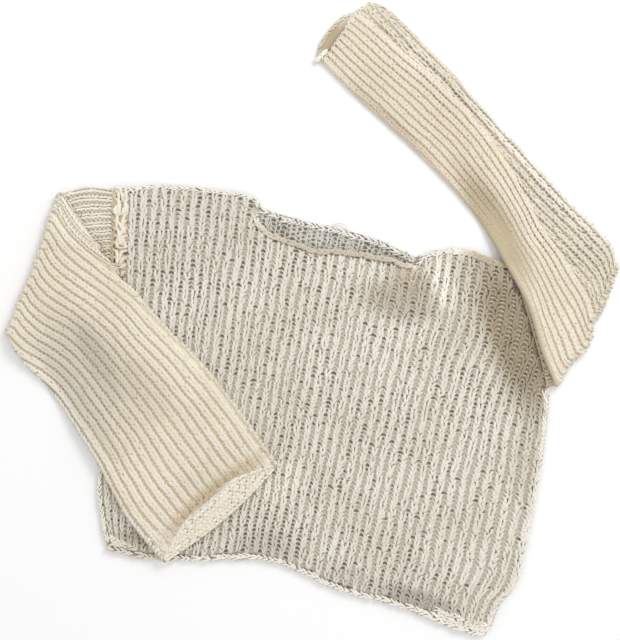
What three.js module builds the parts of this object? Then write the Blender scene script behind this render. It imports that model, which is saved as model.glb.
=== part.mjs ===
// A hand-knit wool pullover laid flat with its front up: a back and a front panel, two sleeves
// folded back from their drop shoulders, and the rolled edges of the hem and the neck.
// Millimetres, +Z up. The origin is under the middle of the garment, on the surface it lies on.

import * as THREE from 'three';

// Driving dimensions
const wall = 3.6;                        // knitted cloth of 3 mm yarn
const gap = 0.4;                         // between layers, and at the seams
const halfTube = wall + gap / 2;         // half the height of a flattened sleeve
const turnRadius = wall + gap;           // middle of a sleeve where it folds over itself
const bodyTop = 2 * wall + gap;          // two layers of cloth
const seamGap = 1;                       // plan clearance between a sleeve and its armhole
const sagStart = 4;                      // a sleeve stays up this far past what it lies on
const sagLength = 48;                    // and comes down to the floor over this length
const rollWidth = 5.5;                   // rolled edges of hem and neck
const rollHeight = 4;
const rollGap = 1.5;                     // plan clearance between a rolled edge and its panel
const pleatRise = 5;                     // height of the pleat's hidden layers in the right sleeve
const layCentre = [-0.29, -0.73];        // middle of the whole lay, moved to the origin
const wool = { body: 0xd6d0bf, sleeve: 0xe2d7c1, edge: 0xe8e0cf };

const curve = (points) => new THREE.SplineCurve(points.map(([x, y]) => new THREE.Vector2(x, y)));
const { lerp, smoothstep } = THREE.MathUtils;

// Outline of the body as it lies, seen from above
const sideLeft = curve([[-227, 152], [-230, 81], [-233, 2], [-241, -81], [-246, -174], [-243, -226],
  [-236, -262]]);
const sideRight = curve([[233, 63], [255, -6], [273, -79], [270, -139], [260, -209], [240, -303],
  [204, -364]]);
const armholeLeft = 0.361;               // share of each side, from the shoulder down
const armholeRight = 0.334;
const hemLine = curve([[-236, -262], [-186, -273], [-122, -274], [-56, -274], [-12, -288], [34, -309],
  [104, -328], [162, -351], [204, -364]]);
const shoulderLeft = [[-227, 152], [-169, 155], [-122, 151], [-65, 141]];
const shoulderRight = [[136, 76], [162, 80], [185, 78], [208, 69], [233, 63]];
const neckFront = [[-63, 114], [-45, 97], [0, 81], [40, 77], [92, 68], [118, 62]];
const neckBack = [[-56, 133], [-12, 119], [35, 109], [81, 93], [122, 73]];
const topFront = curve([...shoulderLeft, ...neckFront, ...shoulderRight]);
const topBack = curve([...shoulderLeft, ...neckBack, ...shoulderRight]);

// Soft swells of the front over the back: centre, reach along and across, turn in degrees, height
const swells = [
  { at: [20, -70], along: 150, across: 120, turn: -15, height: 2.2 },
  { at: [150, 30], along: 42, across: 13, turn: 78, height: 4 },
  { at: [186, 44], along: 30, across: 22, turn: 60, height: 2.5 },
  { at: [78, 50], along: 55, across: 12, turn: -12, height: 1.8 },
  { at: [110, -270], along: 95, across: 26, turn: -22, height: 3 },
  { at: [-60, -215], along: 60, across: 26, turn: -8, height: 2.5 },
  { at: [-217, 112], along: 38, across: 7, turn: 89, height: 2.4 },
];

// What the folded-back sleeves lie on: the body and the turned-under starts of both sleeves
const support = [[-284, 152], [-227, 152], [-122, 151], [-60, 138], [136, 76], [233, 64], [349, 65],
  [281, -80], [270, -139], [240, -303], [204, -364], [34, -309], [-56, -274], [-238, -268], [-250, -174],
  [-245, -81], [-236, 0], [-349, -21]];

function swell(x, y) {
  let lift = 0;
  for (const { at, along, across, turn, height } of swells) {
    const angle = THREE.MathUtils.degToRad(turn);
    const dx = x - at[0];
    const dy = y - at[1];
    const p = (dx * Math.cos(angle) + dy * Math.sin(angle)) / along;
    const q = (dy * Math.cos(angle) - dx * Math.sin(angle)) / across;
    lift += height * Math.exp(-p * p - q * q);
  }
  return lift;
}

function distanceOutside(outline, x, y) {
  let inside = false;
  let nearest = Infinity;
  outline.forEach(([ax, ay], i) => {
    const [bx, by] = outline[(i + 1) % outline.length];
    if (ay > y !== by > y && x < ax + ((y - ay) * (bx - ax)) / (by - ay)) inside = !inside;
    const t = THREE.MathUtils.clamp(((x - ax) * (bx - ax) + (y - ay) * (by - ay))
      / ((bx - ax) ** 2 + (by - ay) ** 2), 0, 1);
    nearest = Math.min(nearest, Math.hypot(x - lerp(ax, bx, t), y - lerp(ay, by, t)));
  });
  return inside ? 0 : nearest;
}

// Height of the underside of cloth that lies on the garment at x, y
function restHeight(x, y) {
  const fall = smoothstep(distanceOutside(support, x, y), sagStart, sagStart + sagLength);
  return (bodyTop + 2 * gap + swell(x, y)) * (1 - fall);
}

// A closed mesh from points and four-sided faces
function solid(points, quads) {
  const geometry = new THREE.BufferGeometry();
  geometry.setAttribute('position', new THREE.Float32BufferAttribute(points.flat(), 3));
  geometry.setIndex(quads.flatMap(([a, b, c, d]) => [a, b, c, a, c, d]));
  geometry.computeVertexNormals();
  return geometry;
}

// A knitted panel between four edges, with its underside at floor(x, y)
function panel(top, columns, rows, floor) {
  const points = [];
  const across = columns + 1;
  const layer = across * (rows + 1);
  for (const height of [0, wall]) {
    for (let row = 0; row <= rows; row += 1) {
      for (let column = 0; column <= columns; column += 1) {
        const u = column / columns;
        const v = row / rows;
        const [t, b] = [top.getPointAt(u), hemLine.getPointAt(u)];
        const [l, r] = [sideLeft.getPointAt(v), sideRight.getPointAt(v)];
        const corner = (axis) => lerp(lerp(top.getPoint(0)[axis], top.getPoint(1)[axis], u),
          lerp(hemLine.getPoint(0)[axis], hemLine.getPoint(1)[axis], u), v);
        const place = (axis) => lerp(t[axis], b[axis], v) + lerp(l[axis], r[axis], u) - corner(axis);
        const x = place('x');
        const y = place('y');
        points.push([x, y, floor(x, y) + height]);
      }
    }
  }
  const quads = [];
  for (let row = 0; row < rows; row += 1) {
    for (let column = 0; column < columns; column += 1) {
      const a = row * across + column;
      quads.push([a, a + 1, a + across + 1, a + across]);
      quads.push([a + layer, a + layer + across, a + layer + across + 1, a + layer + 1]);
    }
  }
  const rim = [];
  for (let column = 0; column < columns; column += 1) rim.push(column);
  for (let row = 0; row < rows; row += 1) rim.push(row * across + columns);
  for (let column = columns; column > 0; column -= 1) rim.push(rows * across + column);
  for (let row = rows; row > 0; row -= 1) rim.push(row * across);
  rim.forEach((a, i) => {
    const b = rim[(i + 1) % rim.length];
    quads.push([a, a + layer, b + layer, b]);
  });
  return solid(points, quads);
}

// A rolled edge: an eight-sided bead that follows path, a list of [x, y, z] middles
function roll(path) {
  const sides = 8;
  const points = [];
  path.forEach(([x, y, z], i) => {
    const before = path[Math.max(i - 1, 0)];
    const after = path[Math.min(i + 1, path.length - 1)];
    const run = Math.hypot(after[0] - before[0], after[1] - before[1]);
    const normal = [-(after[1] - before[1]) / run, (after[0] - before[0]) / run];
    for (let side = 0; side < sides; side += 1) {
      const angle = (side + 0.5) * 2 * Math.PI / sides;
      const out = Math.cos(angle) * rollWidth / 2;
      points.push([x + normal[0] * out, y + normal[1] * out, z + Math.sin(angle) * rollHeight / 2]);
    }
  });
  const quads = [];
  for (let i = 0; i < path.length - 1; i += 1) {
    for (let side = 0; side < sides; side += 1) {
      const next = (side + 1) % sides;
      quads.push([i * sides + side, i * sides + next, (i + 1) * sides + next, (i + 1) * sides + side]);
    }
  }
  for (const [start, turn] of [[0, -1], [(path.length - 1) * sides, 1]]) {
    const corner = (k) => start + (turn * k + sides) % sides;
    quads.push([corner(0), corner(1), corner(2), corner(3)], [corner(0), corner(3), corner(4), corner(7)],
      [corner(4), corner(5), corner(6), corner(7)]);
  }
  return solid(points, quads);
}

// The middle line of a rolled edge that runs just outside a curve, between two shares of its length
function besideCurve(edge, from, to, steps, side, height) {
  const path = [];
  for (let i = 0; i <= steps; i += 1) {
    const t = lerp(from, to, i / steps);
    const point = edge.getPointAt(t);
    const tangent = edge.getTangentAt(t);
    const out = side * (rollWidth / 2 + rollGap);
    const x = point.x - tangent.y * out;
    const y = point.y + tangent.x * out;
    path.push([x, y, height(x, y)]);
  }
  return path;
}

// A sleeve: a flattened tube from the armhole out to its fold, over the fold and back to the cuff.
// share runs across the sleeve from 0 to 1, and h is the height from the tube's middle.
function sleeve({ armhole, fold, out, railA, railB, across, pleat, cuff }) {
  const foldAt = (share) => [lerp(fold[0][0], fold[1][0], share), lerp(fold[0][1], fold[1][1], share)];
  const stations = [];
  for (const t of [0, 0.95]) {
    stations.push((share, h) => {
      const [x, y] = foldAt(share);
      const start = armhole(share);
      return [lerp(start.x + out[0] * seamGap, x, t), lerp(start.y + out[1] * seamGap, y, t), halfTube + h];
    });
  }
  const foldSteps = 6;
  for (let step = 1; step < foldSteps; step += 1) {
    const angle = Math.PI * step / foldSteps;
    stations.push((share, h) => {
      const [x, y] = foldAt(share);
      const radius = turnRadius - h;
      const reach = radius * Math.sin(angle);
      return [x + out[0] * reach, y + out[1] * reach, halfTube + turnRadius - radius * Math.cos(angle)];
    });
  }
  const lengthSteps = 17;
  for (let step = 0; step <= lengthSteps; step += 1) {
    const t = lerp(0.02, 1, step / lengthSteps);
    stations.push((share, h) => {
      const a = railA.getPointAt(t);
      const b = railB.getPointAt(t);
      const ahead = railA.getTangentAt(t).add(railB.getTangentAt(t)).normalize();
      const upper = h < 0 ? 1 : 0;
      const push = cuff(share, upper) * smoothstep(t, 0.8, 1);
      const x = lerp(a.x, b.x, share) + ahead.x * push;
      const y = lerp(a.y, b.y, share) + ahead.y * push;
      const thick = upper * Math.abs(h) / halfTube > 0.5 ? pleat(share, t) : 0;
      return [x, y, restHeight(x, y) + halfTube - h + thick];
    });
  }
  // One ring of the tube: out along one wall, round the side, back along the other, round again
  const width = railA.getPointAt(0.5).distanceTo(railB.getPointAt(0.5));
  const ring = (halfHeight) => {
    const points = across.map((share) => [share, -halfHeight]);
    const inset = (halfTube - halfHeight) / width;
    const round = halfHeight / width;
    for (const angle of [-45, 0, 45]) {
      const rad = THREE.MathUtils.degToRad(angle);
      points.push([1 - inset - round * (1 - Math.cos(rad)), halfHeight * Math.sin(rad)]);
    }
    points.push(...across.map((share) => [share, halfHeight]).reverse());
    for (const angle of [45, 0, -45]) {
      const rad = THREE.MathUtils.degToRad(angle);
      points.push([inset + round * (1 - Math.cos(rad)), halfHeight * Math.sin(rad)]);
    }
    return points;
  };
  const outer = ring(halfTube);
  const inner = ring(gap / 2);
  const count = outer.length;
  const points = [];
  for (const place of stations) {
    points.push(...outer.map(([share, h]) => place(share, h)), ...inner.map(([share, h]) => place(share, h)));
  }
  const quads = [];
  for (let i = 0; i < count; i += 1) {
    const j = (i + 1) % count;
    for (let station = 0; station < stations.length - 1; station += 1) {
      const a = station * 2 * count;
      const b = a + 2 * count;
      quads.push([a + i, a + j, b + j, b + i], [a + count + i, b + count + i, b + count + j, a + count + j]);
    }
    const end = (stations.length - 1) * 2 * count;
    quads.push([i, count + i, count + j, j], [end + i, end + j, end + count + j, end + count + i]);
  }
  return solid(points, quads);
}

function piece(name, geometry, color) {
  const material = new THREE.MeshStandardMaterial({ color, roughness: 0.95, metalness: 0 });
  const mesh = new THREE.Mesh(geometry, material);
  mesh.name = name;
  return mesh;
}

const frontFloor = (x, y) => wall + gap + swell(x, y);
const frontRoll = (x, y) => frontFloor(x, y) + rollHeight / 2 + 0.1;
const backRoll = () => rollHeight / 2;

const sweater = new THREE.Group();
sweater.add(piece('back', panel(topBack, 40, 8, () => 0), wool.body));
sweater.add(piece('front', panel(topFront, 40, 16, frontFloor), wool.body));

// Left and right are as seen from above
sweater.add(piece('sleeve_left', sleeve({
  armhole: (share) => sideLeft.getPointAt(share * armholeLeft),
  fold: [[-284, 144], [-349, -21]],
  out: [-0.93, 0.367],
  railA: curve([[-284, 144], [-233, 72], [-186, 14], [-128, -46], [-82, -102], [-37, -168]]),
  railB: curve([[-349, -21], [-337, -46], [-300, -93], [-255, -162], [-215, -226], [-169, -281]]),
  across: [0.03, 0.2, 0.4, 0.6, 0.8, 0.97],
  pleat: () => 0,
  cuff: (share, upper) => -26 * upper * Math.sin(Math.PI * share),
}), wool.sleeve));

// The right sleeve's pleat: its hidden layers thicken the upper wall up to the ridge
const ridgeShare = 0.7;

function pleatAt(share, t) {
  const layers = share < ridgeShare ? Math.sin(Math.PI * share / (2 * ridgeShare)) : 0;
  return pleatRise * layers * smoothstep(t, 0.25, 0.6);
}

sweater.add(piece('sleeve_right', sleeve({
  armhole: (share) => sideRight.getPointAt((1 - share) * armholeRight),
  fold: [[281, -74], [349, 65]],
  out: [0.898, -0.44],
  railA: curve([[281, -74], [266, -38], [249, 17], [223, 66], [193, 116], [153, 162], [105, 209], [54, 255],
    [10, 299]]),
  railB: curve([[349, 65], [339, 92], [300, 138], [257, 184], [194, 254], [150, 302], [92, 360]]),
  across: [0.05, 0.17, 0.36, 0.55, 0.67, 0.73, 0.84, 0.95],
  pleat: pleatAt,
  cuff: (share, upper) => 32 * Math.sin(Math.PI * share ** (upper ? 1.8 : 0.9)),
}), wool.sleeve));

sweater.add(piece('hem_edging_front', roll(besideCurve(hemLine, 0.01, 0.99, 26, -1, frontRoll)), wool.edge));
sweater.add(piece('hem_edging_back', roll(besideCurve(hemLine, 0.01, 0.99, 26, -1, backRoll)), wool.edge));
sweater.add(piece('neck_edging_front', roll(besideCurve(topFront, 0.385, 0.745, 16, 1, frontRoll)),
  wool.edge));
sweater.add(piece('neck_edging_back', roll(besideCurve(topBack, 0.39, 0.75, 14, 1, backRoll)), wool.edge));
sweater.position.set(-layCentre[0], -layCentre[1], 0);

export default sweater;
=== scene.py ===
import math

import bpy
import numpy as np
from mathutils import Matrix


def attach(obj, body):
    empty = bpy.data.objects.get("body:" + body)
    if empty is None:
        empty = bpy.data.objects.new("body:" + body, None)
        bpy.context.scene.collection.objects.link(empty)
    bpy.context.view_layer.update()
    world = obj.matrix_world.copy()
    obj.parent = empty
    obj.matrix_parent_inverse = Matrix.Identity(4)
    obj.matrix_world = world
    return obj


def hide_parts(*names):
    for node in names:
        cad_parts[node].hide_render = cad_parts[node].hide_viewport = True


# A hand-knit wool pullover laid flat with its front up. Each panel is a thin woolly backing
# with real looped yarn over it: one stitch is modelled, copied by two arrays, and the copies
# are laid along the wales of the panel. Lay sizes are in mm and the heights start at the floor.

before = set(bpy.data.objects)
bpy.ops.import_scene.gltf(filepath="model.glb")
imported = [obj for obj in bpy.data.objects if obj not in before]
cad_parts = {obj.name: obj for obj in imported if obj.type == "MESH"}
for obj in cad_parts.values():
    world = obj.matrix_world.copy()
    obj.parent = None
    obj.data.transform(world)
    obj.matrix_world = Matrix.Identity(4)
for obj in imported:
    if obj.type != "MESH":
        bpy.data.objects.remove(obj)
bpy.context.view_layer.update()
bpy.ops.object.select_all(action="DESELECT")

# The same driving sizes as the CAD solids
garment = {
    "wall": 3.6, "gap": 0.4, "turnRadius": 4.0, "seamGap": 1.0,
    "sagStart": 4.0, "sagLength": 48.0, "pressedBelow": 1.0, "layCentre": (-0.29, -0.73),
    "rollHeight": 4.0, "bodyRows": 82, "sleeveWales": 32,
    "leftSleeveRows": 92, "rightSleeveRows": 98,
}
wall = garment["wall"]
gap = garment["gap"]
halfTube = wall + gap / 2
bodyTop = 2 * wall + gap


# Lines and heights of the lay
class Line:
    # A smooth line through a few points, read by its share of the whole length
    def __init__(self, points):
        p = np.array(points, float)
        padded = np.vstack([p[:1], p, p[-1:]])
        t = np.linspace(0, len(p) - 1, 40 * len(p))
        i = np.minimum(t.astype(int), len(p) - 2)
        f = (t - i)[:, None]
        a, b, c, d = (padded[i + k] for k in range(4))
        leave, arrive = (c - a) / 2, (d - b) / 2
        self.samples = ((2 * b - 2 * c + leave + arrive) * f ** 3
                        + (3 * c - 3 * b - 2 * leave - arrive) * f ** 2 + leave * f + b)
        steps = np.linalg.norm(np.diff(self.samples, axis=0), axis=1)
        self.reach = np.concatenate([[0], np.cumsum(steps)])
        self.length = self.reach[-1]

    def at(self, share):
        run = np.asarray(share) * self.length
        return (np.interp(run, self.reach, self.samples[:, 0]),
                np.interp(run, self.reach, self.samples[:, 1]))

    def heading(self, share):
        step = 0.002
        start = np.clip(share, 0, 1 - step)
        x0, y0 = self.at(start)
        x1, y1 = self.at(start + step)
        run = np.hypot(x1 - x0, y1 - y0)
        return (x1 - x0) / run, (y1 - y0) / run


# The edges of the panels, as points on the lay in mm
shoulderLeft = [[-227, 152], [-169, 155], [-122, 151], [-65, 141]]
shoulderRight = [[136, 76], [162, 80], [185, 78], [208, 69], [233, 63]]
neckFront = [[-63, 114], [-45, 97], [0, 81], [40, 77], [92, 68], [118, 62]]
neckBack = [[-56, 130], [-12, 116], [35, 105.5], [81, 92], [122, 73]]
topFront = Line(shoulderLeft + neckFront + shoulderRight)
topBack = Line(shoulderLeft + neckBack + shoulderRight)
sideLeft = Line([[-227, 152], [-230, 81], [-233, 2], [-241, -81], [-246, -174], [-243, -226], [-236, -262]])
sideRight = Line([[233, 63], [255, -6], [273, -79], [270, -139], [260, -209], [240, -300],
                  [219, -328], [204, -364]])
hemLine = Line([[-236, -262], [-186, -273], [-122, -274], [-56, -274], [-12, -288], [34, -309],
                [104, -328], [162, -351], [204, -364]])
# The rows of stitches start along this line, which runs on across the neck
firstRow = Line([[-290, 152], [-227, 152], [-122, 151], [-61, 139], [38, 108], [134, 81], [233, 63],
                 [320, 38]])

# Low rises of the front, each its middle, its reach along and across, its turn and its height
swells = [
    ((20, -70), (150, 120), -15, 2.2),
    ((150, 30), (42, 13), 78, 4),
    ((186, 44), (30, 22), 60, 2.5),
    ((78, 50), (55, 12), -12, 1.8),
    ((110, -270), (95, 26), -22, 3),
    ((-60, -215), (60, 26), -8, 2.5),
    ((-217, 112), (38, 7), 89, 2.4),
]
# A sleeve lies level where this outline is under it, and sags to the floor outside it
support = [(-284, 152), (-227, 152), (-122, 151), (-60, 138), (136, 76), (233, 64), (349, 65),
           (281, -80), (270, -139), (240, -303), (204, -364), (34, -309), (-56, -274), (-238, -268),
           (-250, -174), (-245, -81), (-236, 0), (-349, -21)]


def smoothstep(x, start, end):
    t = np.clip((np.asarray(x) - start) / (end - start), 0, 1)
    return t * t * (3 - 2 * t)


def mix(a, b, share):
    return a + (b - a) * share


def swellAt(x, y, folds=swells):
    lift = 0 * x
    for (middleX, middleY), (along, across), turn, height in folds:
        turn = math.radians(turn)
        dx, dy = x - middleX, y - middleY
        p = (dx * math.cos(turn) + dy * math.sin(turn)) / along
        q = (dy * math.cos(turn) - dx * math.sin(turn)) / across
        lift = lift + height * np.exp(-p * p - q * q)
    return lift


def depthInside(outline, x, y):
    # How far a point is inside a closed outline, and negative where it is outside
    x, y = np.asarray(x, float), np.asarray(y, float)
    inside = np.zeros(x.shape, bool)
    nearest = np.full(x.shape, 1e9)
    for (ax, ay), (bx, by) in zip(outline, outline[1:] + outline[:1]):
        if ay != by:
            crosses = ((ay > y) != (by > y)) & (x < ax + (y - ay) * (bx - ax) / (by - ay))
            inside ^= crosses
        run = (bx - ax) ** 2 + (by - ay) ** 2 + 1e-9
        t = np.clip(((x - ax) * (bx - ax) + (y - ay) * (by - ay)) / run, 0, 1)
        nearest = np.minimum(nearest, np.hypot(x - mix(ax, bx, t), y - mix(ay, by, t)))
    return np.where(inside, nearest, -nearest)


def restHeight(x, y):
    start = garment["sagStart"]
    fall = smoothstep(-depthInside(support, x, y), start, start + garment["sagLength"])
    return (bodyTop + 2 * gap + swellAt(x, y)) * (1 - fall)


def wander(x, y, reach, seed):
    # Slow seeded unevenness, about -1 to 1, with waves near this reach
    rng = np.random.default_rng(seed)
    total = 0
    for _ in range(7):
        angle, size = rng.uniform(0, 2 * math.pi), reach * rng.uniform(0.6, 1.7)
        phase = rng.uniform(0, 2 * math.pi)
        total = total + np.sin((x * math.cos(angle) + y * math.sin(angle)) * 2 * math.pi / size + phase)
    return total / 3.2


def toModel(x, y, z):
    # Yarn that would sink into the floor is pressed flat on it
    cx, cy = garment["layCentre"]
    low = garment["pressedBelow"]
    z = np.where(z < low, low * np.exp(np.minimum(z, low) / low - 1), z)
    return np.stack([x - cx, y - cy, z], axis=-1).astype(np.float32) / 1000


# Shader helpers
class Value:
    # A socket that takes part in a Python expression
    def __init__(self, paint, socket):
        self.paint, self.socket = paint, socket

    def maths(self, operation, a, b):
        return self.paint.node("ShaderNodeMath", {"operation": operation}, {0: a, 1: b})

    def __add__(self, other):
        return self.maths("ADD", self, other)

    def __sub__(self, other):
        return self.maths("SUBTRACT", self, other)

    def __rsub__(self, other):
        return self.maths("SUBTRACT", other, self)

    def __mul__(self, other):
        return self.maths("MULTIPLY", self, other)

    def __truediv__(self, other):
        return self.maths("DIVIDE", self, other)

    def __pow__(self, other):
        return self.maths("POWER", self, other)

    __radd__ = __add__
    __rmul__ = __mul__


class Paint:
    # One material and its nodes
    def __init__(self, name):
        self.material = bpy.data.materials.new(name)
        self.material.use_nodes = True
        self.tree = self.material.node_tree
        self.tree.nodes.clear()

    def node(self, kind, settings, inputs, output=0):
        # Its settings come first, then a value or a link for each socket named
        made = self.tree.nodes.new(kind)
        for key, value in settings.items():
            setattr(made, key, value)
        for key, value in inputs.items():
            if isinstance(value, Value):
                self.tree.links.new(value.socket, made.inputs[key])
            else:
                made.inputs[key].default_value = value
        return Value(self, made.outputs[output]) if made.outputs else None

    def place(self):
        return self.node("ShaderNodeTexCoord", {}, {}, "Object")

    def noise(self, where, scale, detail=2.0):
        return self.node("ShaderNodeTexNoise", {}, {"Vector": where, "Scale": scale, "Detail": detail})

    def vector(self, operation, inputs, output=0):
        return self.node("ShaderNodeVectorMath", {"operation": operation}, inputs, output)

    def mapAxis(self, uvMap, axis):
        # One of the two directions of a UV map
        flat = self.node("ShaderNodeUVMap", {"uv_map": uvMap}, {})
        return self.node("ShaderNodeSeparateXYZ", {}, {0: flat}, axis)

    def between(self, value, low, high, toLow=0.0, toHigh=1.0):
        # A soft step between two values
        return self.node("ShaderNodeMapRange", {"interpolation_type": "SMOOTHSTEP"},
                         {"Value": value, "From Min": low, "From Max": high,
                          "To Min": toLow, "To Max": toHigh})

    def blend(self, share, first, second):
        # Sockets 0, 6 and 7 are the factor and the two colours, and 2 is the colour that comes out
        return self.node("ShaderNodeMix", {"data_type": "RGBA"}, {0: share, 6: first, 7: second}, 2)

    def patch(self, at, reach, turn):
        # 1 in the middle of a soft oval on the lay, falling to 0 at its rim, sizes in mm
        cx, cy = garment["layCentre"]
        centred = self.node("ShaderNodeMapping", {"vector_type": "TEXTURE"},
                            {"Vector": self.place(), "Rotation": (0, 0, math.radians(turn)),
                             "Location": ((at[0] - cx) / 1000, (at[1] - cy) / 1000, 0),
                             "Scale": (reach[0] / 1000, reach[1] / 1000, 1000)})
        far = self.vector("LENGTH", {0: centred}, "Value")
        return self.between(far, 0.35, 1.0, 1.0, 0.0)

    def tint(self, base, patches):
        # Each patch is its middle, its reach, its turn, its strength and its colour
        for at, reach, turn, strength, tone in patches:
            base = self.blend(self.patch(at, reach, turn) * strength, base, colour(*tone))
        return base

    def finish(self, inputs):
        shader = self.node("ShaderNodeBsdfPrincipled", {}, inputs)
        self.node("ShaderNodeOutputMaterial", {}, {"Surface": shader})
        return self.material


def colour(r, g, b):
    # A colour as it looks on a screen, 0 to 255
    return tuple(((c / 255 + 0.055) / 1.055) ** 2.4 for c in (r, g, b)) + (1.0,)


# Wool. Each tone varies at random between light and deep; its other colours are painted shade in the ply's
# furrows and deep in the stitches, and the shade tone is sleeve wool painted darker where it lies low in
# shade
wool = {
    "body": {"light": (242, 238, 228), "deep": (226, 220, 206), "plyShadeTone": (212, 201, 180),
             "foot": (206, 197, 178), "sunkShade": 0.85, "headShade": 0.65},
    "sleeve": {"light": (246, 239, 224), "deep": (236, 226, 207), "plyShadeTone": (222, 207, 180),
               "foot": (230, 214, 187), "sunkShade": 0.85, "headShade": 0.3},
    "shade": {"light": (240, 234, 220), "deep": (226, 218, 201), "plyShadeTone": (206, 193, 168),
              "foot": (204, 191, 166), "sunkShade": 0.85, "headShade": 0.5},
    "edge": {"light": (255, 252, 244), "deep": (246, 240, 226), "plyShadeTone": (226, 213, 190),
             "foot": (214, 200, 174), "sunkShade": 0.6, "headShade": 0.0},
    "twistsPerStitch": 2.0, "plyShade": 0.10, "bump": 0.3,
}


def yarnWool(name, tone, patches):
    # Undyed plied yarn, its tone varied at random, with patches that are mostly painted shade and painted
    # light
    paint = Paint(name)
    where = paint.place()
    slow = paint.between(paint.noise(where, 14.0, 3.0), 0.35, 0.68)
    fine = paint.between(paint.noise(where, 260.0, 2.0), 0.3, 0.7)
    base = paint.blend(slow * 0.6 + fine * 0.4, colour(*wool[tone]["deep"]), colour(*wool[tone]["light"]))
    base = paint.tint(base, patches)
    along = paint.mapAxis("yarn", 0)
    around = paint.mapAxis("yarn", 1)
    ply = paint.node("ShaderNodeMath", {"operation": "SINE"},
                     {0: (along * wool["twistsPerStitch"] * 4 + around) * (2 * math.pi)})
    # Painted shade in the furrows between the plies
    plyShade = paint.between(ply, -1.0, -0.1, 1.0, 0.0)
    base = paint.blend(plyShade * wool["plyShade"], base, colour(*wool[tone]["plyShadeTone"]))
    # Painted shade: the feet of a loop lie deep between the wales, and the next row shades its head, so
    # both take the darker foot colour
    fromHead = paint.node("ShaderNodeMath", {"operation": "ABSOLUTE"}, {0: along - 0.5})
    sunkShade = paint.between(fromHead, 0.36, 0.47) * wool[tone]["sunkShade"]
    base = paint.blend(sunkShade + paint.between(fromHead, 0.03, 0.15, 1.0, 0.0) * wool[tone]["headShade"],
                       base, colour(*wool[tone]["foot"]))
    bump = paint.node("ShaderNodeBump", {}, {"Strength": wool["bump"], "Distance": 0.0004, "Height": ply})
    return paint.finish({"Base Color": base, "Roughness": 0.92, "Normal": bump, "Sheen Weight": 0.25,
                         "Sheen Roughness": 0.5, "Specular IOR Level": 0.15})


def backingWool(name, tone, groove, holeShade, holes):
    # The felted inner side that shows deep between the stitches, coloured darker than the yarn as painted
    # shade, with painted dark spots for the shade seen through open holes. holes says their size and how
    # far it spreads, where there are more, and the tints under and over them.
    paint = Paint(name)
    where = paint.place()
    knitSpot = paint.node("ShaderNodeUVMap", {"uv_map": "knit"}, {})
    slow = paint.between(paint.noise(where, 30.0, 3.0), 0.35, 0.65)
    felt = paint.noise(where, 420.0, 3.0)
    base = paint.blend(slow * 0.7 + paint.between(felt, 0.35, 0.65) * 0.3, colour(*groove), colour(*tone))
    base = paint.tint(base, holes.get("under", []))
    for shift in holes.get("shifts", [(0.5, 0.78)]):
        # One painted dark spot to a stitch: each strays from the middle of its cell and has its own size
        moved = paint.vector("ADD", {0: knitSpot, 1: shift + (0,)})
        cell = paint.vector("FLOOR", {0: moved})
        middle = paint.vector("SUBTRACT", {0: paint.vector("FRACTION", {0: moved}), 1: (0.5, 0.5, 0)})
        luck = paint.node("ShaderNodeTexWhiteNoise", {"noise_dimensions": "2D"}, {"Vector": cell}, "Value")
        other = paint.node("ShaderNodeTexWhiteNoise", {"noise_dimensions": "3D"}, {"Vector": cell}, "Color")
        strayed = paint.vector("MULTIPLY_ADD", {0: other, 1: (0.16, 0.3, 0), 2: middle})
        wide = paint.vector("MULTIPLY_ADD", {0: strayed, 1: (1.9, 1.15, 0), 2: (-0.15, -0.17, 0)})
        far = paint.vector("LENGTH", {0: wide}, "Value")
        size = luck ** 3.0 * holes["spread"] + holes["size"]
        for at, reach, turn, strength in holes["more"]:
            size = size + paint.patch(at, reach, turn) * strength
        holeShadeMask = paint.between(far / size, 0.55, 1.0, 1.0, 0.0)
        base = paint.blend(holeShadeMask * 0.9, base, colour(*holeShade))
    if "rim" in holes:
        # Smooth and pale by the open end
        worn = slow * 0.5 + paint.between(felt, 0.4, 0.6) * 0.5
        pale = paint.blend(worn, colour(*holes["rim"][0]), colour(*holes["rim"][1]))
        base = paint.blend(paint.between(paint.mapAxis("OFBake", 1), 0.945, 0.96), base, pale)
    base = paint.tint(base, holes.get("tints", []))
    bump = paint.node("ShaderNodeBump", {}, {"Strength": 0.5, "Distance": 0.0008, "Height": felt})
    return paint.finish({"Base Color": base, "Roughness": 0.95, "Normal": bump, "Sheen Weight": 0.1,
                         "Specular IOR Level": 0.1})


# Knitting
def startObject(name, mesh, material):
    made = bpy.data.objects.new(name, mesh)
    bpy.context.scene.collection.objects.link(made)
    made.data.materials.append(material)
    bpy.ops.object.select_all(action="DESELECT")
    bpy.context.view_layer.objects.active = made
    made.select_set(True)
    return made


def cornersOf(mesh):
    # The vertex at each corner of each face
    corners = np.empty(len(mesh.loops), np.int32)
    mesh.loops.foreach_get("vertex_index", corners)
    return corners


def layMap(mesh, name, spots):
    mesh.uv_layers.new(name=name).data.foreach_set("uv", spots.astype(np.float32).ravel())


def closeSurface(capSides=0):
    # Merges doubles where copies or edges meet, and caps open ends of yarn
    bpy.ops.object.mode_set(mode="EDIT")
    bpy.ops.mesh.select_all(action="SELECT")
    bpy.ops.mesh.remove_doubles(threshold=0.00002)
    if capSides:
        bpy.ops.mesh.fill_holes(sides=capSides)
    bpy.ops.object.mode_set(mode="OBJECT")
    bpy.ops.object.shade_smooth()


def stitchLine(look, share):
    # The middle of the yarn: from a left foot over the head to the right foot
    turn = 2 * math.pi * share
    return np.stack([
        look["pitch"] * (share + look["lean"] * np.sin(turn) + look["flare"] * np.sin(2 * turn)),
        look["row"] * look["tall"] * -np.cos(turn),
        -look["depth"] * np.cos(2 * turn) * look["face"],
    ], axis=1)


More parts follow.
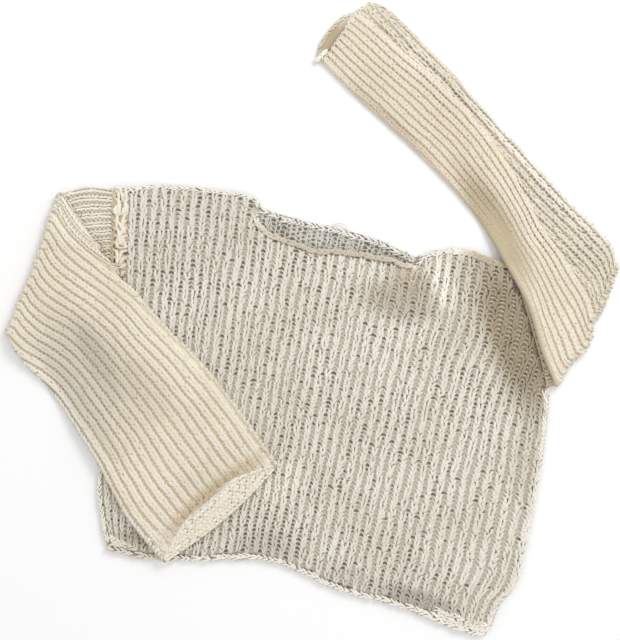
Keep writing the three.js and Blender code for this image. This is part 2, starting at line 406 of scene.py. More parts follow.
def stitchMesh(name, look):
    steps, sides = look["steps"], look["sides"]
    share = np.linspace(0, 1, steps + 1)
    line = stitchLine(look, share)
    fine = np.linspace(-0.01, 1.01, 1021)
    slope = np.gradient(stitchLine(look, fine), axis=0)
    ahead = np.stack([np.interp(share, fine, slope[:, k]) for k in range(3)], axis=1)
    ahead /= np.linalg.norm(ahead, axis=1)[:, None]
    side = np.cross(ahead, (0, 0, 1.0))
    side /= np.linalg.norm(side, axis=1)[:, None]
    above = np.cross(side, ahead)
    thick = look["yarn"] * (1 - (1 - look["thin"]) * np.cos(2 * math.pi * share) ** 4)
    points, faces = [], []
    for i in range(steps + 1):
        for k in range(sides):
            angle = 2 * math.pi * (k + 0.5) / sides
            points.append(line[i] + thick[i] * (math.cos(angle) * side[i] + math.sin(angle) * above[i]))
    for i in range(steps):
        for k in range(sides):
            n = (k + 1) % sides
            faces.append((i * sides + k, i * sides + n, (i + 1) * sides + n, (i + 1) * sides + k))
    mesh = bpy.data.meshes.new(name)
    mesh.from_pydata([tuple(p) for p in points], [], faces)
    spots = []
    for i in range(steps):
        for k in range(sides):
            a, b, c, d = share[i], share[i + 1], k / sides, (k + 1) / sides
            spots += [a, c, a, d, b, d, b, c]
    layMap(mesh, "yarn", np.array(spots))
    return mesh


# Sizes in mm: pitch and row are the spacing, depth is how far a loop curves out and in, and yarn is
# the radius of the yarn, of which thin is left at the feet and the head. uneven is how loops differ.
stitch = {"steps": 8, "sides": 5, "pitch": 10.5, "row": 5.0, "lean": 0.118, "flare": 0.09, "tall": 0.78,
          "depth": 1.0, "yarn": 1.8, "thin": 0.62, "face": 1, "uneven": 2.0}
chain = {"steps": 8, "sides": 4, "pitch": 6.0, "row": 6.0, "lean": 0.06, "flare": -0.09, "tall": 0.8,
         "depth": 0.9, "yarn": 1.35, "thin": 0.7, "face": 1, "uneven": 2.0}
# How stitches made by hand differ, in shares of a wale or a row, and in mm for the height
handmade = {"width": 0.08, "shift": 0.04, "leg": 0.035, "row": 0.13, "height": 0.22}


def knit(name, look, wales, rows, place, keep, material, seed):
    # wales and rows are counts; place turns (wale, row, height) into lay mm, keep picks stitches
    mesh = stitchMesh(name, look)
    made = startObject(name, mesh, material)
    perStitch = len(mesh.vertices)
    for count, offset in ((wales, (look["pitch"], 0, 0)), (rows, (0, look["row"], 0))):
        copies = made.modifiers.new("copies", "ARRAY")
        copies.use_relative_offset = False
        copies.use_constant_offset = True
        copies.constant_offset_displace = offset
        copies.count = count
        bpy.ops.object.modifier_apply(modifier=copies.name)
    mesh = made.data
    flat = np.empty(len(mesh.vertices) * 3)
    mesh.vertices.foreach_get("co", flat)
    flat = flat.reshape(-1, 3)
    rng = np.random.default_rng(seed)
    number = np.arange(wales * rows)
    waleOf, rowOf = number % wales, number // wales
    kept = keep(waleOf + 0.5, rowOf + 0.0)
    ring = np.tile(np.repeat(np.linspace(0, 1, look["steps"] + 1), look["sides"]), wales * rows)
    free = np.sin(math.pi * ring) ** 2
    change = rng.normal(size=(wales * rows, 4)).clip(-2, 2) * look["uneven"]
    change = np.repeat(change, perStitch, axis=0) * free[:, None]
    middle = np.repeat(waleOf + 0.5, perStitch)
    wale = flat[:, 0] / look["pitch"]
    row = flat[:, 1] / look["row"]
    onLeg = np.sin(2 * math.pi * ring) ** 2 * np.where(ring < 0.5, 1, -1)
    wale = middle + (wale - middle) * (1 + handmade["width"] * change[:, 0])
    wale = wale + handmade["shift"] * change[:, 1]
    legs = rng.normal(size=wales * rows * 2).clip(-2, 2)[np.repeat(number * 2, perStitch) + (ring > 0.5)]
    wale = wale + handmade["leg"] * onLeg * legs * look["uneven"]
    row = row + handmade["row"] * change[:, 2]
    height = flat[:, 2] + handmade["height"] * change[:, 3]
    x, y, z = place(wale, row, height)
    mesh.vertices.foreach_set("co", toModel(x, y, z).ravel())
    spot = np.stack([(wale + 1) / (wales + 2), (row + 2) / (rows + 4)], axis=1).clip(0, 1)
    layMap(mesh, "OFBake", spot[cornersOf(mesh)])
    mesh.update()
    bpy.ops.object.mode_set(mode="EDIT")
    bpy.ops.mesh.select_all(action="DESELECT")
    bpy.ops.object.mode_set(mode="OBJECT")
    mesh.vertices.foreach_set("select", ~np.repeat(kept, perStitch))
    bpy.ops.object.mode_set(mode="EDIT")
    bpy.ops.mesh.delete(type="VERT")
    closeSurface(look["sides"])
    print(name, int(kept.sum()), "stitches,", len(made.data.polygons) * 2, "triangles")
    return made


def backing(name, columns, rows, place, material, pattern):
    # A thin sheet of cells: place(u, v) with both from 0 to 1, and pattern(u, v) in wales and rows
    u, v = np.meshgrid(np.linspace(0, 1, columns + 1), np.linspace(0, 1, rows + 1))
    x, y, z = place(u.ravel(), v.ravel())
    across = columns + 1
    cells = []
    for row in range(rows):
        for column in range(columns):
            a = row * across + column
            cells.append((a, a + across, a + across + 1, a + 1))
    mesh = bpy.data.meshes.new(name)
    mesh.from_pydata([tuple(p) for p in toModel(x, y, z).tolist()], [], cells)
    made = startObject(name, mesh, material)
    flat = np.stack([u.ravel(), v.ravel()], axis=1)[cornersOf(mesh)]
    layMap(mesh, "OFBake", flat)
    layMap(mesh, "knit", np.stack(pattern(flat[:, 0], flat[:, 1]), axis=1))
    mesh.update()
    closeSurface()
    return made


# Loose hairs: reach and curl are in wales, and the rest in mm
hairs = {"thick": 0.17, "reach": (0.25, 0.75), "curl": (-0.25, 0.25), "rise": (0.6, 2.2), "above": 1.6,
         "onFront": 1500, "onSleeve": 800}


def fibres(name, count, wales, rows, place, keep, material, seed):
    # Short loose hairs that stand off the yarn, each a thin curved strand lying over a few stitches
    rng = np.random.default_rng(seed)
    wale, row = rng.uniform(0, wales, count), rng.uniform(0, rows, count)
    kept = keep(wale, row)
    wale, row = wale[kept], row[kept]
    total = len(wale)
    angle, reach = rng.uniform(0, 2 * math.pi, total), rng.uniform(*hairs["reach"], total)
    curl, rise = rng.uniform(*hairs["curl"], total), rng.uniform(*hairs["rise"], total)
    steps = 4
    share = np.linspace(0, 1, steps + 1)
    p = wale[:, None] + np.outer(reach * np.cos(angle), share) + np.outer(curl, np.sin(math.pi * share))
    q = row[:, None] + 2 * (np.outer(reach * np.sin(angle), share) + np.outer(curl, np.sin(2.2 * share)))
    x, y, z = place(p, q, hairs["above"] + np.outer(rise, np.sin(0.6 * math.pi * share)))
    spine = toModel(x, y, z).astype(float)
    thin = (hairs["thick"] / 1000 * (1 - 0.6 * share))[:, None]
    points = np.stack([spine + thin * np.array([math.cos(k), math.sin(k), math.sin(k + 2)])
                       for k in (0.3, 2.4, 4.5)], axis=2)
    faces = []
    for one in range(total):
        for i in range(steps):
            a = (one * (steps + 1) + i) * 3
            faces += [(a, a + 1, a + 4, a + 3), (a + 1, a + 2, a + 5, a + 4), (a + 2, a, a + 3, a + 5)]
    mesh = bpy.data.meshes.new(name)
    mesh.from_pydata([tuple(v) for v in points.reshape(-1, 3).tolist()], [], faces)
    made = startObject(name, mesh, material)
    bpy.ops.object.shade_smooth()
    print(name, total, "fibres,", len(mesh.polygons) * 2, "triangles")
    return made


hairPaint = Paint("loose fibres")
hairTone = hairPaint.blend(hairPaint.noise(hairPaint.place(), 40.0),
                           colour(252, 247, 235), colour(238, 230, 212))
looseFibre = hairPaint.finish({"Base Color": hairTone, "Roughness": 0.9, "Specular IOR Level": 0.15})


# Body: the wales start along the top and the hem at these places and spacings, the outer ones are
# pulled to the sides, and all bow out a little by the right armhole
body = {
    "firstWale": -23, "wales": 47, "rows": garment["bodyRows"],
    "topStart": 37.7, "topPitch": 11.83, "hemStart": -40.0, "hemPitch": 10.24, "hemFan": 0.0464,
    "leftWale": -22.3, "leftIn": 2, "rightWale": 22.6, "rightIn": 3, "pulledWales": 4,
    "belowArm": (0.25, 0.36),
    "bowAt": (202, -12), "bowReach": 58, "bowMove": 9,
    "edgeDrop": 1.7, "edgeMargin": 2.2, "selvedgeX": -213.5, "selvedgeFoot": 38,
    "backWaleShift": 0.5, "backRowShift": 0.4, "backFlatness": 0.62,
    "frontBackingDown": 0.9, "backBackingDown": 0.1,
}


def bodyLine(wale, share):
    # Where a wale lies at this share of its length, before the edges pull it in
    topX = body["topStart"] + body["topPitch"] * wale
    hemX = body["hemStart"] + body["hemPitch"] * wale + body["hemFan"] * wale ** 2
    topY = np.interp(topX, firstRow.samples[:, 0], firstRow.samples[:, 1])
    hemY = np.interp(hemX, hemLine.samples[:, 0], hemLine.samples[:, 1])
    return mix(topX, hemX, share), mix(topY, hemY, share)


def bodySpot(wale, row):
    share = row / body["rows"]
    x, y = bodyLine(wale, share)
    near = (x - body["bowAt"][0]) ** 2 + (y - body["bowAt"][1]) ** 2
    x = x + body["bowMove"] * np.exp(-near / body["bowReach"] ** 2)
    low = np.clip(share, 0, 1)
    leftX, leftY = bodyLine(body["leftWale"], low)
    rightX, rightY = bodyLine(body["rightWale"], low)
    sideX = np.interp(-leftY, -sideLeft.samples[:, 1], sideLeft.samples[:, 0])
    fromLeft = np.abs(wale - body["leftWale"]) / body["pulledWales"]
    x = x + (sideX + body["leftIn"] - leftX) * np.exp(-fromLeft)
    farX = np.interp(-rightY, -sideRight.samples[:, 1], sideRight.samples[:, 0])
    fromRight = np.abs(wale - body["rightWale"]) / body["pulledWales"]
    belowArm = smoothstep(low, *body["belowArm"])
    x = x + (farX - body["rightIn"] - rightX) * np.exp(-fromRight) * belowArm
    x = x + 0.9 * wander(x, y, 70, 3)
    y = y + 1.2 * wander(x, y, 55, 4)
    return x, y


def outlineOf(top):
    return [tuple(p) for line, step in ((top, 1), (sideRight, 1), (hemLine, -1), (sideLeft, -1))
            for p in line.samples[::8 * step].tolist()]


frontOutline = outlineOf(topFront)
backOutline = outlineOf(topBack)


def edgeDrop(outline, x, y):
    # The panel comes down a little all along its edges
    return body["edgeDrop"] * (1 - smoothstep(depthInside(outline, x, y), -1, 9))


def frontPlace(wale, row, height):
    x, y = bodySpot(wale + body["firstWale"], row)
    z = wall + gap + wall / 2 + swellAt(x, y) - edgeDrop(frontOutline, x, y) + height
    return x, y, z


def backPlace(wale, row, height):
    # Its wales run between the front's
    x, y = bodySpot(wale + body["firstWale"] + body["backWaleShift"], row + body["backRowShift"])
    return x, y, wall / 2 + height * body["backFlatness"]


def insideOf(outline, margin, shift=0, rowShift=0):
    # Picks the stitches whose middles are further inside the outline than the margin
    def keep(wale, row):
        x, y = bodySpot(wale + body["firstWale"] + shift, row + rowShift)
        return depthInside(outline, x, y) > margin
    return keep


# Painted shadow of the right sleeve by the armhole; painted shade under the right of the neck and in the
# valley there, above the hem and under the left cuff; painted light on the ridge right of the neck and
# right of the left cuff's corner; cooler at the upper left and darker along the right side
bodyYarn = yarnWool("body wool", "body", [
    ((205, 10), (120, 80), -68, 0.3, (196, 182, 156)),
    ((238, -22), (145, 44), -70, 0.95, (163, 148, 121)),
    ((118, 45), (22, 42), 62, 0.7, (196, 181, 156)),
    ((104, 22), (58, 32), -16, 0.75, (188, 177, 158)),
    ((153, 44), (46, 20), -78, 0.85, (255, 251, 241)),
    ((-50, -262), (60, 26), -8, 0.5, (196, 190, 178)),
    ((128, -325), (62, 16), -20, 0.8, (178, 172, 160)),
    ((48, -298), (60, 15), -20, 0.4, (190, 184, 170)),
    ((-192, -254), (46, 15), -8, 0.7, (180, 168, 146)),
    ((-36, -190), (50, 34), 42, 0.6, (255, 249, 237)),
    ((-120, 110), (130, 80), 0, 0.4, (219, 215, 203)),
    ((252, -150), (95, 24), -95, 0.45, (202, 193, 174)),
])
backYarn = yarnWool("back wool", "body", [
    ((30, 108), (150, 60), -14, 0.7, (236, 234, 228)),
])
# Painted shade: the grooves and dark spots, and under them the right sleeve's shadow and the shade under
# the right of the neck and the left cuff; painted light on the ridge right of the neck; cream under the
# armhole selvedge; the spots are bigger at the upper left, by the right sleeve, above the hem and by the
# left cuff
bodyBacking = backingWool("body backing", (213, 206, 190), (199, 191, 174), (112, 104, 91), {
    "size": 0.03, "spread": 0.84, "under": [
        ((232, -12), (145, 60), -68, 0.95, (150, 136, 110)),
        ((104, 22), (58, 36), -16, 0.6, (176, 164, 143)),
        ((153, 44), (46, 22), -78, 0.7, (222, 213, 196)),
        ((-222, 92), (66, 14), 88, 1.0, (224, 209, 183)),
        ((-192, -254), (50, 16), -8, 0.7, (168, 156, 134)),
    ], "more": [
        ((-130, 95), (190, 130), 0, 0.13),
        ((205, -10), (90, 140), 0, 0.4),
        ((128, -325), (80, 20), -20, 0.45),
        ((-50, -244), (66, 44), -8, 0.34),
    ]})
# The back's inside, seen through the neck: painted shade, with many dark spots for the shade seen through
# its holes
backBacking = backingWool("back backing", (216, 213, 204), (200, 197, 188), (104, 101, 97), {
    "size": 0.36, "spread": 0.6, "more": [], "shifts": [(0.5, 0.78), (0.0, 0.28)]})

backLook = dict(stitch, steps=6, sides=3, depth=0.8, yarn=1.3, thin=0.9, lean=0.07, face=-1)
half = body["rows"] // 2


def frontHalf(name, startRow, rows, seed):
    def keep(wale, row):
        # The selvedge by the left armhole is a chain of its own
        x, y = bodySpot(wale + body["firstWale"], row + startRow)
        onPanel = depthInside(frontOutline, x, y) > body["edgeMargin"]
        return onPanel & ((x > body["selvedgeX"]) | (y < body["selvedgeFoot"]))

    return knit(name, stitch, body["wales"], rows,
                lambda wale, row, height: frontPlace(wale, row + startRow, height), keep, bodyYarn, seed)


frontUpper = frontHalf("frontStitchesUpper", 0, half, 11)
frontLower = frontHalf("frontStitchesLower", half, body["rows"] - half + 1, 12)
backStitches = knit("backStitches", backLook, body["wales"], body["rows"] + 1, backPlace,
                    insideOf(backOutline, body["edgeMargin"], body["backWaleShift"], body["backRowShift"]),
                    backYarn, 13)
frontFibres = fibres("frontFibres", hairs["onFront"], body["wales"], body["rows"], frontPlace,
                     insideOf(frontOutline, -1.0), looseFibre, 14)


def panelBetween(top):
    # The panel between its four edges, as its CAD solid: place(u, v) turns shares across and down
    # it into lay mm
    cornerTop = [top.at(0), top.at(1)]
    cornerHem = [hemLine.at(0), hemLine.at(1)]

    def place(u, v):
        t, b, l, r = top.at(u), hemLine.at(u), sideLeft.at(v), sideRight.at(v)
        found = []
        for k in (0, 1):
            upper = mix(cornerTop[0][k], cornerTop[1][k], u)
            lower = mix(cornerHem[0][k], cornerHem[1][k], u)
            found.append(mix(t[k], b[k], v) + mix(l[k], r[k], u) - mix(upper, lower, v))
        return found
    return place


frontPanel, backPanel = panelBetween(topFront), panelBetween(topBack)


def waleAt(x, y):
    # Undoes bodyLine closely enough for the pattern of holes on the backing
    wale = (x - body["topStart"]) / body["topPitch"]
    length, pitch = 420, 11
    for _ in range(6):
        share = np.clip((152 - 0.24 * (x + 227) - y) / length, 0, 1)
        for _ in range(3):
            lineX, lineY = bodyLine(wale, share)
            share = share + (lineY - y) / length
        wale = wale + (x - lineX) / pitch
    return wale, share * body["rows"]


def panelPattern(place):
    def scaled(u, v):
        x, y = place(u, v)
        return waleAt(x, y)
    return scaled


def frontSheetPlace(u, v):
    x, y = frontPanel(u, v)
    z = wall + gap + wall / 2 - body["frontBackingDown"] + swellAt(x, y) - edgeDrop(frontOutline, x, y)
    return x, y, z


def backSheetPlace(u, v):
    x, y = backPanel(u, v)
    return x, y, np.full(x.shape, wall / 2 - body["backBackingDown"])


frontSheet = backing("frontBacking", 90, 80, frontSheetPlace, bodyBacking, panelPattern(frontPanel))
backSheet = backing("backBacking", 60, 50, backSheetPlace, backBacking, panelPattern(backPanel))
print("body done")


# Sleeves
class Sleeve:
    # A flattened tube from the armhole out to its fold, over the fold and back to the cuff. A spot
    # on it is its run along the sleeve from 0 to 1 and its way round in mm, which starts on the
    # wall that ends on top and goes on round the far side to the other wall.
    def __init__(self, spec):
        self.spec = spec
        self.railA, self.railB = Line(spec["railA"]), Line(spec["railB"])
        self.width = self.span(0.5)
        self.bend = halfTube / 2 + gap / 4
        self.inset = halfTube / self.width
        self.round = math.pi * self.bend
        self.around = 2 * (self.width + self.round)

    def span(self, time):
        # How wide the last stretch is at this share of its length
        ax, ay = self.railA.at(time)
        bx, by = self.railB.at(time)
        return np.hypot(ax - bx, ay - by)

    def section(self, way, outward):
        # Share across the sleeve, height from its middle, and 1 on the top wall to 0 on the other
        way = way % self.around
        reach = self.bend + outward
        first = np.clip((way - self.width) / self.bend, 0, math.pi)
        last = np.clip((way - 2 * self.width - self.round) / self.bend, 0, math.pi)
        flat = 1 - 2 * self.inset
        half = self.width + self.round
        out = self.inset + flat * np.minimum(way / self.width, 1) + reach * np.sin(first) / self.width
        back = 1 - self.inset - flat * np.minimum((way - half) / self.width, 1)
        share = np.where(way < half, out, back - reach * np.sin(last) / self.width)
        turned = np.where(way < half, first, math.pi + last)
        return share, -reach * np.cos(turned), (1 + np.cos(turned)) / 2

    def spot(self, along, share, h, upper, runShare=None):
        # In lay mm, from the share across the sleeve, the height off its middle and the wall. Where
        # wales slant across a wall, runShare is where their length is measured.
        spec, turn = self.spec, garment["turnRadius"]
        run = share if runShare is None else runShare
        outX, outY = spec["out"]
        startX, startY = spec["armhole"](np.clip(share, 0, 1))
        startX, startY = startX + outX * garment["seamGap"], startY + outY * garment["seamGap"]
        bulge = np.interp(share, *zip(*spec["bulge"]))
        foldX, foldY = self.foldAt(share)
        foldX, foldY = foldX + outX * bulge, foldY + outY * bulge
        outLength, backLength = self.lengths(run)
        way = along * (outLength + math.pi * turn + backLength)
        outShare = np.clip(way / outLength, 0, 1)
        angle = np.clip((way - outLength) / turn, 0, math.pi)
        backShare = np.clip((way - outLength - math.pi * turn) / backLength, 0, 1.02)
        # From the armhole out to the fold
        bow = spec["bow"] * np.sin(math.pi * outShare) * (1 - np.clip(share, 0, 1)) ** 3
        x1, y1, z1 = mix(startX, foldX, outShare), mix(startY, foldY, outShare) + bow, halfTube + h
        # Over the fold
        radius = turn - h
        x2, y2 = foldX + outX * radius * np.sin(angle), foldY + outY * radius * np.sin(angle)
        z2 = halfTube + turn - radius * np.cos(angle)
        # Back over the body to the cuff
        aX, aY = self.railA.at(backShare)
        bX, bY = self.railB.at(backShare)
        headAX, headAY = self.railA.heading(backShare)
        headBX, headBY = self.railB.heading(backShare)
        norm = np.hypot(headAX + headBX, headAY + headBY)
        push = spec["cuff"](np.clip(share, 0, 1), upper) * smoothstep(backShare, 0.8, 1)
        bulge = bulge * (1 - smoothstep(backShare, -0.05, 0.16))
        x3 = mix(aX, bX, share) + (headAX + headBX) / norm * push + outX * bulge
        y3 = mix(aY, bY, share) + (headAY + headBY) / norm * push + outY * bulge
        lift = (spec["lift"](np.clip(share, 0, 1), backShare) + swellAt(x3, y3, spec["creases"])) * upper
        z3 = restHeight(x3, y3) + halfTube - h + lift
        early, late = way < outLength, way > outLength + math.pi * turn
        return (np.where(early, x1, np.where(late, x3, x2)), np.where(early, y1, np.where(late, y3, y2)),
                np.where(early, z1, np.where(late, z3, z2)))

    def foldAt(self, share):
        (ax, ay), (bx, by) = self.spec["fold"]
        return mix(ax, bx, share), mix(ay, by, share)

    def lengths(self, share):
        # From the armhole to the fold, and from the fold to the cuff
        share = np.clip(share, 0, 1)
        foldX, foldY = self.foldAt(share)
        x, y = self.spec["armhole"](share)
        return np.hypot(foldX - x, foldY - y), mix(self.railA.length, self.railB.length, share)

    def tube(self, along, way, outward):
        # The wales swing round the tube a little by the fold
        swing = self.spec["swing"] * (1 - smoothstep(self.time(along, 0.5), 0, 0.42)) ** 1.5
        share, h, upper = self.section(way + swing, outward)
        return self.spot(along, share, h, upper)

    def time(self, along, share):
        # How far along the last stretch a run comes to
        outLength, backLength = self.lengths(share)
        turn = math.pi * garment["turnRadius"]
        return np.clip((along * (outLength + turn + backLength) - outLength - turn) / backLength, 0, 1)


# For each sleeve: its armhole, its fold, which way is out and how far the fold bulges that way at a
# share across the sleeve; its two rails from the fold to the cuff, how far the cuff's walls reach
# past their ends, what lifts its top wall, and the creases there
leftSleeve = Sleeve({
    "armhole": lambda share: sideLeft.at(share * 0.361),
    "fold": ((-286, 148), (-349, -21)), "out": (-0.93, 0.367), "bow": 5, "swing": 30,
    "bulge": ((0, 0), (0.25, -2.0), (0.6, -2.5), (1, 0)),
    "railA": [[-286, 148], [-233, 72], [-186, 14], [-128, -46], [-82, -102], [-37, -168]],
    "railB": [[-349, -21], [-337, -46], [-295, -93], [-249, -162], [-215, -226], [-169, -281]],
    "cuff": lambda share, upper: mix(7, -23.5, upper) * np.sin(math.pi * share),
    "lift": lambda share, t: 0 * share,
    "creases": [
        ((-205, -70), (70, 22), -50, -1.6),
        ((-165, -60), (80, 20), -52, 1.8),
        ((-262, -30), (90, 26), -55, 1.4),
    ],
})

# The right sleeve is pleated lengthwise: a wedge of wales lies over a strip along the outer side,
# and its ridge is at these shares across the sleeve at these times along the last stretch
pleat = {"wedgeWales": 9, "stripWales": 7, "stripPitch": 9.3, "wedgeRun": 0.65, "runPerWale": 0.07,
         "rise": 6.5,
         "times": [0.0, 0.15, 0.28, 0.40, 0.56, 0.64, 0.78, 0.87, 0.97, 1.0],
         "shares": [0.60, 0.61, 0.62, 0.71, 0.82, 0.83, 0.80, 0.77, 0.73, 0.71]}


def ridgeAt(t):
    return np.interp(t, pleat["times"], pleat["shares"])


def rightLift(share, t):
    inWedge = share / ridgeAt(t)
    rise = np.sin(math.pi / 2 * np.clip(inWedge, 0, 1)) - 0.3 * smoothstep(inWedge, 0.92, 1.0)
    rise = rise * (1 - smoothstep(inWedge, 1.0, 1.04))
    return pleat["rise"] * rise * smoothstep(t, 0.10, 0.5)


# How far the two walls reach at the cuff, as (share across the sleeve, mm)
rightCuffReach = {
    "under": [(0, 0), (0.06, 10), (0.17, 18), (0.28, 22), (0.48, 27), (0.58, 27), (0.8, 20), (1, 0)],
    "top": [(0, 0), (0.17, 3.5), (0.26, 7), (0.46, 13), (0.56, 18), (0.62, 21), (0.67, 20), (0.8, 23),
            (0.9, 22), (0.96, 11), (1, 0)],
}
rightSleeve = Sleeve({
    "armhole": lambda share: sideRight.at((1 - share) * 0.334),
    "fold": ((284, -79), (352, 67)), "out": (0.898, -0.44), "bow": 0, "swing": 0,
    "bulge": ((0, -2), (0.07, -4.5), (0.14, -3.8), (0.23, -2), (0.3, 4), (0.36, 7), (0.44, 7), (0.53, 1),
              (0.62, 5), (0.75, 5), (1, 0)),
    "railA": [[284, -79], [266, -38], [249, 17], [223, 66], [193, 116], [153, 162], [105, 209], [54, 255],
              [10, 299]],
    "railB": [[352, 67], [344, 94], [300, 139], [257, 184], [194, 254], [150, 302], [92, 360]],
    "cuff": lambda share, upper: mix(np.interp(share, *zip(*rightCuffReach["under"])),
                                     np.interp(share, *zip(*rightCuffReach["top"])), upper),
    "lift": rightLift,
    "creases": [
        ((212, 120), (64, 13), -61, -4.5),
        ((236, 125), (60, 4.0), -63, 2.6),
        ((248, 110), (50, 3.6), -68, 2.2),
        ((238, 75), (60, 4.0), -72, 2.2),
        ((266, -10), (60, 6), -76, 1.4),
        ((95, 228), (70, 5), -43, -1.6),
    ],
})

# Painted shade in the right sleeve's hollow, along its edge towards the cuff and at its armhole end, in the
# middle of the left sleeve and in the band where its top wall ends at the cuff; painted light on the left
# sleeve's corner by the armhole; the others make the left sleeve paler along its outer edge, greyer just
# inside it and a little darker further down, and the right sleeve darker and warmer on its upper part
sleeveYarn = yarnWool("sleeve wool", "sleeve", [
    ((212, 112), (108, 27), -60, 0.9, (193, 178, 148)),
    ((258, -14), (85, 13), -74, 0.6, (208, 193, 165)),
    ((118, 250), (150, 50), -45, 0.45, (226, 214, 193)),
    ((-250, -52), (110, 55), -50, 0.62, (210, 203, 188)),
    ((-247, -42), (66, 20), -60, 0.5, (190, 181, 162)),
    ((-190, -80), (70, 30), -50, 0.4, (216, 206, 186)),
    ((-112, -203), (100, 20), 40, 0.9, (203, 183, 150)),
    ((-262, 128), (60, 56), 0, 0.95, (252, 247, 233)),
    ((-268, -94), (110, 18), -54, 0.6, (208, 204, 192)),
    ((-284, -102), (115, 9), -55, 0.6, (244, 241, 230)),
    ((100, 216), (110, 16), -45, 0.85, (207, 195, 171)),
    ((266, -82), (26, 20), 0, 0.9, (196, 182, 154)),
])
# Painted shade inside the right cuff's open end, in the right sleeve's hollow and at its armhole end, in
# the tan band by the left armhole and in the left sleeve's middle; painted light on the left sleeve's
# corner by the armhole; paler along the right sleeve's outer side and the left sleeve's edge over the body,
# greyer under the strip; bigger painted dark spots along the strip and in the left sleeve's middle
sleeveBacking = backingWool("sleeve backing", (232, 217, 190), (219, 202, 173), (148, 136, 117), {
    "size": 0.0, "spread": 0.3, "rim": ((236, 222, 198), (246, 237, 219)), "under": [
        ((276, 170), (170, 15), -47, 0.9, (235, 232, 222)),
        ((296, 112), (110, 40), -50, 0.5, (222, 213, 194)),
    ], "tints": [
        ((16, 330), (34, 40), 0, 1.0, (192, 177, 148)),
        ((212, 112), (108, 30), -60, 0.9, (191, 175, 144)),
        ((258, -14), (100, 18), -74, 0.9, (214, 199, 170)),
        ((-262, 128), (60, 56), 0, 0.9, (240, 229, 206)),
        ((-231, 92), (70, 7), 88, 0.9, (205, 187, 154)),
        ((266, -82), (26, 20), 0, 0.9, (196, 182, 154)),
        ((-262, -62), (120, 70), -52, 0.75, (194, 184, 165)),
        ((-152, -12), (270, 21), -51, 0.95, (243, 233, 213)),
    ], "more": [
        ((190, 232), (230, 30), -44, 0.44),
        ((298, 108), (110, 60), -50, 0.6),
        ((-270, -70), (110, 40), -52, 0.25),
    ]})
sleeveLook = dict(stitch, yarn=2.3, depth=1.1, thin=0.5, lean=0.108, flare=0.07, pitch=10.3, uneven=1.1)
sleeveHidden = dict(sleeveLook, steps=6, sides=3, depth=0.7, lean=0.12)
wales = garment["sleeveWales"]
# How the sleeves' cloth lies: the walls of the backing in mm from the middle of the yarn, how far the
# wales stray, and the rows that the seam hides; onceRound stops just short of the start
sleeveCloth = {
    "columns": 72, "cellRows": 110, "onceRound": 0.999999, "underWall": -1.95, "topWall": -0.5,
    "beforeFold": 1.1, "stray": 0.7, "strayReach": 60, "seamRows": 0.8,
}

# Warmer and paler on the left cuff's inside; painted shade in the band where the top wall ends, and inside
# the right cuff's open end
cuffYarn = yarnWool("cuff wool", "edge", [
    ((-100, -222), (120, 30), 40, 0.8, (243, 231, 212)),
    ((-119, -203), (95, 7), 41, 0.95, (206, 187, 156)),
    ((14, 322), (40, 28), 45, 0.8, (216, 206, 186)),
])


def unevenly(place, seed):
    size, reach = sleeveCloth["stray"], sleeveCloth["strayReach"]

    def uneven(wale, row, height):
        x, y, z = place(wale, row, height)
        return x + size * wander(x, y, reach, seed), y + size * wander(x, y, reach, seed + 1), z
    return uneven


def everyStitch(wale, row):
    return wale > -1


def clearOfSeam(wale, row):
    return row > sleeveCloth["seamRows"]


def sleeveWall(name, sleeve, firstWale, look, rows, seed):
    # Half of the wales, which go right round one wall and one side, with a wale along each side
    pitch = sleeve.around / wales
    shift = firstWale - 0.5 - sleeve.round / 2 / pitch
    return knit(name, look, wales // 2, rows, unevenly(
        lambda wale, row, height: sleeve.tube(row / rows, (wale + shift) * pitch, height), seed),
        clearOfSeam, sleeveYarn, seed)


cuffEdge = {"row": 5.6, "chainWidth": 5.2, "firstAlong": 0.35, "outside": 0.4, "inside": -2.4,
            "thin": 0.85, "depth": 0.4}


def cuffChain(name, sleeve, inside, yarn, seed):
    # The cast-on edge, with more chains inside the lower wall where the cuff stands open
    count = int(sleeve.around / cuffEdge["row"])
    length = np.sum(sleeve.lengths(0.5))

    def upperAt(row):
        return sleeve.section(row / count * sleeve.around, 0 * row)[2]

    def place(wale, row, height):
        out = np.where(upperAt(row) > 0.5, height + cuffEdge["outside"], cuffEdge["inside"] - height)
        along = 1 + (cuffEdge["firstAlong"] - wale) * cuffEdge["chainWidth"] / length
        return sleeve.tube(along, row / count * sleeve.around, out)

    look = dict(chain, yarn=yarn, thin=cuffEdge["thin"], depth=cuffEdge["depth"])
    return knit(name, look, inside, count, place,
                lambda wale, row: (wale < 1) | (upperAt(row) < 0.3), cuffYarn, seed)


def sleeveSheet(name, sleeve, pattern, felted):
    # The backing; felted places are (share, its reach, time, its reach, height) where it fills the grooves
    def place(u, v):
        way = u * sleeve.around * sleeveCloth["onceRound"]
        share, h, upper = sleeve.section(way, 0 * u)
        time = sleeve.time(v, share)
        fill = 0
        for at, reach, when, last, rise in felted:
            fill = fill + rise * np.exp(-((share - at) / reach) ** 2 - ((time - when) / last) ** 2)
        walls = mix(sleeveCloth["underWall"], sleeveCloth["topWall"], smoothstep(upper, 0.3, 0.7))
        outward = walls + fill * upper + np.where(time > 0, 0, sleeveCloth["beforeFold"]) * (1 - upper)
        return sleeve.spot(mix(-0.002, 0.999, v), *sleeve.section(way, outward))
    return backing(name, sleeveCloth["columns"], sleeveCloth["cellRows"], place, sleeveBacking, pattern)


